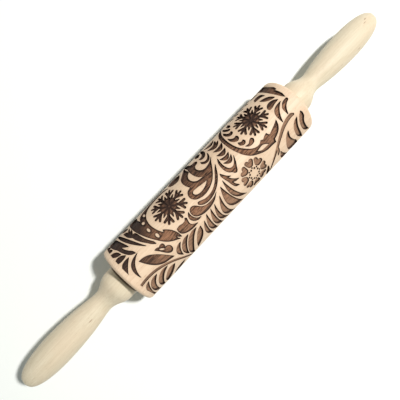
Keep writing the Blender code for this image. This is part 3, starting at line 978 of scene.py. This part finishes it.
class Shader:
    """A material under construction: each method adds a node and returns its output."""

    def __init__(self, name, roughness, metallic=0.0, specular=0.5):
        self.material = bpy.data.materials.new(name)
        self.material.use_nodes = True
        self.tree = self.material.node_tree
        self.surface = self.tree.nodes["Principled BSDF"]
        self.surface.inputs["Roughness"].default_value = roughness
        self.surface.inputs["Metallic"].default_value = metallic
        self.surface.inputs["Specular IOR Level"].default_value = specular

    def plug(self, socket, value):
        if isinstance(value, bpy.types.NodeSocket):
            self.tree.links.new(value, socket)
        else:
            socket.default_value = value

    def node(self, kind, inputs, settings=None):
        node = self.tree.nodes.new("ShaderNode" + kind)
        for name, value in (settings or {}).items():
            setattr(node, name, value)
        for name, value in inputs.items():
            self.plug(node.inputs[name], value)
        return node

    def place(self, scale, offset=(0, 0, 0)):
        """Object coordinates, in metres, times a scale for each axis."""
        coordinates = self.tree.nodes.new("ShaderNodeTexCoord").outputs["Object"]
        mapping = self.node("Mapping", {"Vector": coordinates, "Scale": scale, "Location": offset})
        return mapping.outputs["Vector"]

    def noise(self, scale, detail=4.0, roughness=0.55):
        inputs = {"Vector": self.place(scale), "Scale": 1.0, "Detail": detail, "Roughness": roughness}
        return self.node("TexNoise", inputs).outputs["Fac"]

    def axes(self, scale):
        """Object x, y and z, in metres, times a scale."""
        place = self.node("SeparateXYZ", {"Vector": self.place((scale, scale, scale))})
        return [place.outputs[axis] for axis in "XYZ"]

    def spot(self, centre, size):
        """One inside a soft-edged spot and zero outside, from its centre and size in millimetres."""
        scale = [1 / (MM * value) for value in size]
        place = self.place(scale, [-middle / value for middle, value in zip(centre, size)])
        distance = self.node("VectorMath", {"Vector": place}, {"operation": "LENGTH"}).outputs["Value"]
        return self.fit(distance, 0.4, 1.0, 1.0, 0.0, smooth=True)

    def attribute(self, name):
        return self.node("Attribute", {}, {"attribute_name": name}).outputs["Fac"]

    def fit(self, value, low, high, to_low=0.0, to_high=1.0, smooth=False):
        """The value, moved from one range to another and kept inside it."""
        settings = {"interpolation_type": "SMOOTHSTEP" if smooth else "LINEAR"}
        inputs = {
            "Value": value,
            "From Min": low,
            "From Max": high,
            "To Min": to_low,
            "To Max": to_high,
        }
        return self.node("MapRange", inputs, settings).outputs["Result"]

    def math(self, operation, first, second=0.0):
        node = self.tree.nodes.new("ShaderNodeMath")
        node.operation = operation
        self.plug(node.inputs[0], first)
        self.plug(node.inputs[1], second)
        return node.outputs[0]

    def mix(self, share, first, second):
        node = self.tree.nodes.new("ShaderNodeMix")
        node.data_type = "RGBA"
        self.plug(node.inputs["Factor"], share)
        for name, colour in (("A", first), ("B", second)):
            socket = next(s for s in node.inputs if s.name == name and s.type == "RGBA")
            self.plug(socket, colour if isinstance(colour, bpy.types.NodeSocket) else (*colour, 1.0))
        return next(s for s in node.outputs if s.type == "RGBA")

    def bump(self, height, strength, distance):
        inputs = {"Height": height, "Strength": strength, "Distance": distance}
        node = self.node("Bump", inputs)
        self.plug(self.surface.inputs["Normal"], node.outputs["Normal"])

    def finish(self, colour, roughness=None):
        self.plug(self.surface.inputs["Base Color"], colour)
        if roughness is not None:
            self.plug(self.surface.inputs["Roughness"], roughness)
        return self.material


def growth_rings(shader, centre, spacing, waver):
    """Rings of a trunk whose heart lies at centre, cut by the turned surface."""
    scale = 1 / (spacing * MM)
    place = shader.place((scale * 0.03, scale, scale), tuple(-scale * MM * value for value in centre))
    inputs = {"Vector": place, "Scale": 1.0, "Distortion": waver, "Detail": 2.0, "Detail Scale": 0.6}
    settings = {"wave_type": "RINGS", "rings_direction": "X", "wave_profile": "SAW"}
    return shader.node("TexWave", inputs, settings).outputs["Fac"]


def barrel_land():
    """Turned beech: growth rings, soft streaks, brown flecks, and smoke along the engraving's edges."""
    shader = Shader("barrel_beech", 0.5, specular=0.3)
    rings = growth_rings(shader, (0.0, 34.0, -60.0), 4.2, 3.0)
    streaks = shader.noise((18, 700, 700), detail=5.0, roughness=0.6)
    clouds = shader.noise((9, 30, 30), detail=2.0)
    ring_tone = shader.math("MULTIPLY", rings, 0.35)
    tone = shader.math("ADD", ring_tone, shader.math("MULTIPLY", streaks, 0.65))
    tone = shader.math("ADD", tone, shader.fit(clouds, 0.3, 0.7, -0.18, 0.18))
    colour = shader.mix(shader.fit(tone, 0.3, 0.85), (0.775, 0.592, 0.428), (0.68, 0.488, 0.336))
    flecks = shader.noise((170, 1700, 1700), detail=3.0)
    fleck_share = shader.fit(flecks, 0.58, 0.7, 0.0, 0.5)
    colour = shader.mix(fleck_share, colour, (0.44, 0.26, 0.15))
    smoke = shader.fit(shader.attribute("margin"), 0.0, 1.2, 0.16, 0.0)
    colour = shader.mix(smoke, colour, (0.36, 0.19, 0.11))
    height = shader.math("SUBTRACT", shader.math("MULTIPLY", streaks, 0.5), fleck_share)
    shader.bump(height, 0.25, 0.00012)
    return shader.finish(colour)


def handle_wood():
    """Pale beech with fine fibres, warmer patches, painted shade on the collar's edge by the barrel and a
    few dark marks.
    """
    shader = Shader("handle_beech", 0.5, specular=0.3)
    fibres = shader.noise((30, 1000, 1000), detail=6.0, roughness=0.7)
    bands = shader.noise((7, 240, 240), detail=2.0)
    tone = shader.math("ADD", shader.math("MULTIPLY", bands, 0.3), shader.math("MULTIPLY", fibres, 0.7))
    colour = shader.mix(shader.fit(tone, 0.38, 0.64), (0.73, 0.645, 0.49), (0.61, 0.52, 0.37))
    patches = shader.noise((16, 45, 45), detail=3.0)
    colour = shader.mix(shader.fit(patches, 0.46, 0.7, 0.0, 0.45), colour, (0.72, 0.57, 0.41))
    flecks = shader.noise((420, 2600, 2600), detail=3.0)
    fleck_share = shader.fit(flecks, 0.6, 0.72, 0.0, 0.45)
    colour = shader.mix(fleck_share, colour, (0.46, 0.33, 0.22))
    from_barrel = shader.math("ABSOLUTE", shader.axes(1 / MM)[0])
    # Painted shade: the collar's edge next to the barrel is darkened where the gap between them lies in
    # shade.
    painted_gap_shade = shader.fit(from_barrel, COLLAR_FACE + 0.7, COLLAR_FACE + 1.5, 0.85, 0.0)
    colour = shader.mix(painted_gap_shade, colour, (0.07, 0.04, 0.026))
    for centre, size in HANDLE_MARKS:
        mark = shader.math("MULTIPLY", shader.spot(centre, size), 0.75)
        colour = shader.mix(mark, colour, (0.33, 0.20, 0.12))
    height = shader.math("SUBTRACT", shader.math("MULTIPLY", fibres, 0.5), fleck_share)
    shader.bump(height, 0.3, 0.00012)
    return shader.finish(colour)


def engraved_floor():
    """The burnt bottom: streaks, paler where shallow, painted light on the -Y side, painted shade on the +Y
    side and at the near end, and darker by the walls from burning and painted shade.
    """
    shader = Shader("engraved_floor", 0.85, specular=0.2)
    streaks = shader.noise((110, 1200, 1200), detail=5.0, roughness=0.75)
    patches = shader.noise((60, 110, 110), detail=3.0)
    tone = shader.math("ADD", shader.fit(streaks, 0.43, 0.57), shader.fit(patches, 0.3, 0.7, -0.2, 0.3))
    colour = shader.mix(shader.fit(tone, 0.0, 1.0), (0.030, 0.0155, 0.0105), (0.335, 0.168, 0.095))
    x, y = shader.axes(1 / (BARREL_RADIUS * MM))[:2]
    shallowness = shader.fit(shader.attribute("cut"), DEEP, SHALLOW)
    # Painted light: the floors turn paler towards -Y, the lamp's side. Shallow cuts are also paler in their
    # own colour.
    painted_side_light = shader.fit(y, -0.15, -0.85, 0.0, 0.55)
    painted_light_and_shallow_paleness = shader.math("ADD", painted_side_light, shader.math("MULTIPLY", shallowness, 0.25))
    colour = shader.mix(painted_light_and_shallow_paleness, colour, (0.47, 0.285, 0.18))
    # Painted shade: the floors darken towards +Y, away from the lamp, and towards the near end.
    nearness = shader.fit(x, -1.9, -2.8, 0.0, 0.9)
    char_and_painted_shade = shader.fit(shader.math("ADD", y, nearness), 0.15, 1.15, 0.0, 0.88)
    colour = shader.mix(char_and_painted_shade, colour, (0.029, 0.019, 0.017))
    # Darker by the walls: the beam's real scorching together with painted shade in the corners of the
    # recesses.
    burn_and_painted_shade = shader.fit(shader.attribute("margin"), 0.1, 1.5, 0.9, 0.0, smooth=True)
    burn_and_painted_shade = shader.math("MULTIPLY", burn_and_painted_shade, shader.fit(shallowness, 0.0, 1.0, 1.0, 0.45))
    colour = shader.mix(burn_and_painted_shade, colour, (0.035, 0.020, 0.016))
    shader.bump(streaks, 0.8, 0.0005)
    return shader.finish(colour)


def charred_wall():
    """The walls of the engraving: nearly black, with a fine crust."""
    shader = Shader("charred_wall", 0.8, specular=0.2)
    char_and_painted_shade = shader.noise((900, 900, 900), detail=3.0)
    colour = shader.mix(shader.fit(char_and_painted_shade, 0.35, 0.7), (0.030, 0.017, 0.013), (0.085, 0.045, 0.030))
    shader.bump(char_and_painted_shade, 0.4, 0.0002)
    return shader.finish(colour)


def turned_metal(name, colour, dull, roughness):
    """Machined metal: fine turning marks round the axle and a faint uneven film."""
    shader = Shader(name, roughness, metallic=1.0)
    marks = shader.noise((9000, 60, 60), detail=2.0)
    film = shader.noise((300, 300, 300), detail=4.0)
    shader.bump(marks, 0.3, 0.00003)
    mixed = shader.mix(shader.fit(film, 0.35, 0.7), colour, dull)
    return shader.finish(mixed, shader.fit(film, 0.3, 0.7, roughness - 0.08, roughness + 0.12))


def moulded_nylon():
    """Off-white nylon with a faint speckle, for the bushes."""
    shader = Shader("moulded_nylon", 0.42, specular=0.5)
    speckle = shader.noise((2500, 2500, 2500), detail=2.0)
    colour = shader.mix(shader.fit(speckle, 0.3, 0.7), (0.80, 0.79, 0.74), (0.72, 0.71, 0.66))
    shader.bump(speckle, 0.2, 0.00003)
    return shader.finish(colour)


def paint_node(name, material):
    """Gives a CAD node one material. Its shape stays."""
    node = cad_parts[name]
    node.data.materials.clear()
    node.data.materials.append(material)


# ---------------------------------------------------------------- studio

def make_floor():
    """A plain pale floor that touches the barrel's underside."""
    mesh = bpy.data.meshes.new("studio_floor")
    half = FLOOR_HALF_SIZE
    low = cad_box[0].z
    corners = [(-half, -half, low), (half, -half, low), (half, half, low), (-half, half, low)]
    mesh.from_pydata(corners, [], [(0, 1, 2, 3)])
    floor = bpy.data.objects.new("studio_floor", mesh)
    bpy.context.scene.collection.objects.link(floor)
    shader = Shader("studio_white", 0.7, specular=0.1)
    mottle = shader.noise((3, 3, 3), detail=2.0)
    mesh.materials.append(shader.finish(shader.mix(mottle, (0.87, 0.89, 0.87), (0.88, 0.90, 0.88))))


def make_lamp():
    """One round lamp above, aimed at the barrel's middle."""
    light = bpy.data.lights.new("key", "AREA")
    light.shape = "DISK"
    light.size = LAMP_SIZE
    light.energy = LAMP_POWER
    light.color = LAMP_COLOUR
    lamp = bpy.data.objects.new("key", light)
    lamp.location = LAMP_PLACE
    lamp.rotation_euler = (-Vector(LAMP_PLACE)).to_track_quat("-Z", "Y").to_euler()
    bpy.context.scene.collection.objects.link(lamp)


def make_world():
    """The soft light from all round."""
    world = bpy.data.worlds.new("studio")
    world.use_nodes = True
    background = world.node_tree.nodes["Background"]
    background.inputs["Color"].default_value = (*SKY_COLOUR, 1.0)
    background.inputs["Strength"].default_value = SKY_STRENGTH
    bpy.context.scene.world = world


def make_camera():
    """Looks down on the pin, tilted a little, with +X towards the picture's upper right."""
    along = Vector((math.cos(CAMERA_TILT), 0.0, math.sin(CAMERA_TILT)))
    backward = Vector((-math.sin(CAMERA_TILT), 0.0, math.cos(CAMERA_TILT)))
    across = backward.cross(along)
    cos, sin = math.cos(AXLE_ANGLE_IN_PICTURE), math.sin(AXLE_ANGLE_IN_PICTURE)
    right = along * cos - across * sin
    up = along * sin + across * cos
    data = bpy.data.cameras.new("camera")
    data.lens = LENS
    data.clip_start = 0.01
    camera = bpy.data.objects.new("camera", data)
    turn = Matrix((right, up, backward)).transposed().to_4x4()
    camera.matrix_world = Matrix.Translation(CAMERA_PLACE) @ turn
    bpy.context.scene.collection.objects.link(camera)
    bpy.context.scene.camera = camera


def dress():
    """The engraved barrel and turned handles replace their CAD nodes. The rest gets materials."""
    barrel = make_barrel((barrel_land(), engraved_floor(), charred_wall()))
    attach(barrel, "roller")
    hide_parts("barrel")
    handle_material = handle_wood()
    for word, side in (("left", -1), ("right", 1)):
        handle = make_handle(word, side, handle_material)
        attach(handle, "handles")
        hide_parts("handle_" + word)
    steel = turned_metal("turned_steel", (0.60, 0.60, 0.61), (0.50, 0.50, 0.52), 0.3)
    zinc = turned_metal("zinc_plate", (0.72, 0.73, 0.75), (0.60, 0.61, 0.64), 0.34)
    brass = turned_metal("turned_brass", (0.80, 0.60, 0.27), (0.66, 0.47, 0.20), 0.3)
    nylon = moulded_nylon()
    paint_node("axle_rod", steel)
    for word in ("left", "right"):
        paint_node("bush_" + word, nylon)
        paint_node("thrust_washer_" + word, zinc)
        paint_node("lock_nut_" + word, zinc)
        paint_node("threaded_insert_" + word, brass)


dress()
make_floor()
make_world()
make_lamp()
make_camera()
bpy.context.scene.view_settings.view_transform = "Standard"
